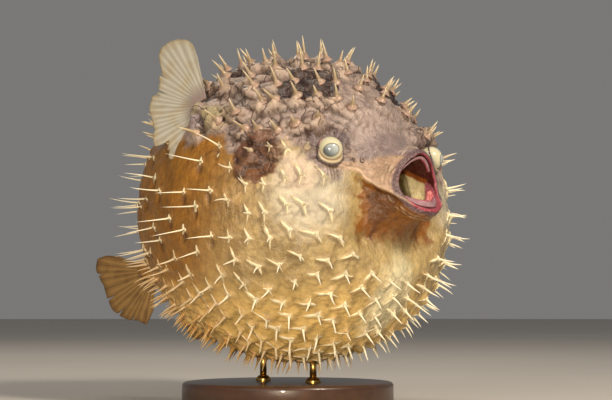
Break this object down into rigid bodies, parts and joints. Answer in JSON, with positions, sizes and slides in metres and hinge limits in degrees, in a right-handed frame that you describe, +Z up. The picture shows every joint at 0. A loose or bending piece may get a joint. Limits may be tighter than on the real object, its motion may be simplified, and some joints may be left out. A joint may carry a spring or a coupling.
{
  "type": "dried inflated porcupinefish specimen on a display stand",
  "caption": "Blown-up, dried spiny fish shaped like a ball, with open mouth, beak, glass eyes and fanned fins, held by rods over a round wooden base.",
  "frame": {"origin": "centre of the stand's underside, under the centre of the ball-shaped body", "axes": "+X from tail to nose, +Y to the fish's left, +Z up out of the table"},
  "size_m": [0.3247, 0.2695, 0.2678],
  "materials": {
    "skin_back": "dried brown-mauve fish skin with bone spines",
    "skin_belly": "dried cream to amber fish skin with bone spines",
    "lips": "dried pink-red lip skin",
    "beak": "bone tooth plate with a low gloss",
    "eye": "glossy taxidermy eye with a grey pupil",
    "fin": "stiff dried fin membrane",
    "stand_wood": "dark stained, satin",
    "stand_rod": "satin"
  },
  "bodies": {
    "root": {"head": "skin_back", "back": "skin_back", "belly": "skin_belly", "tail_base": "skin_belly", "lips": "lips", "beak_upper": "beak", "beak_lower": "beak", "eye_right": "eye", "eye_left": "eye", "pectoral_fin_right": "fin", "pectoral_fin_left": "fin", "dorsal_fin": "fin", "anal_fin": "fin", "caudal_fin": "fin", "stand_base": "stand_wood", "stand_rod_front": "stand_rod", "stand_rod_rear": "stand_rod"}
  },
  "joints": []
}
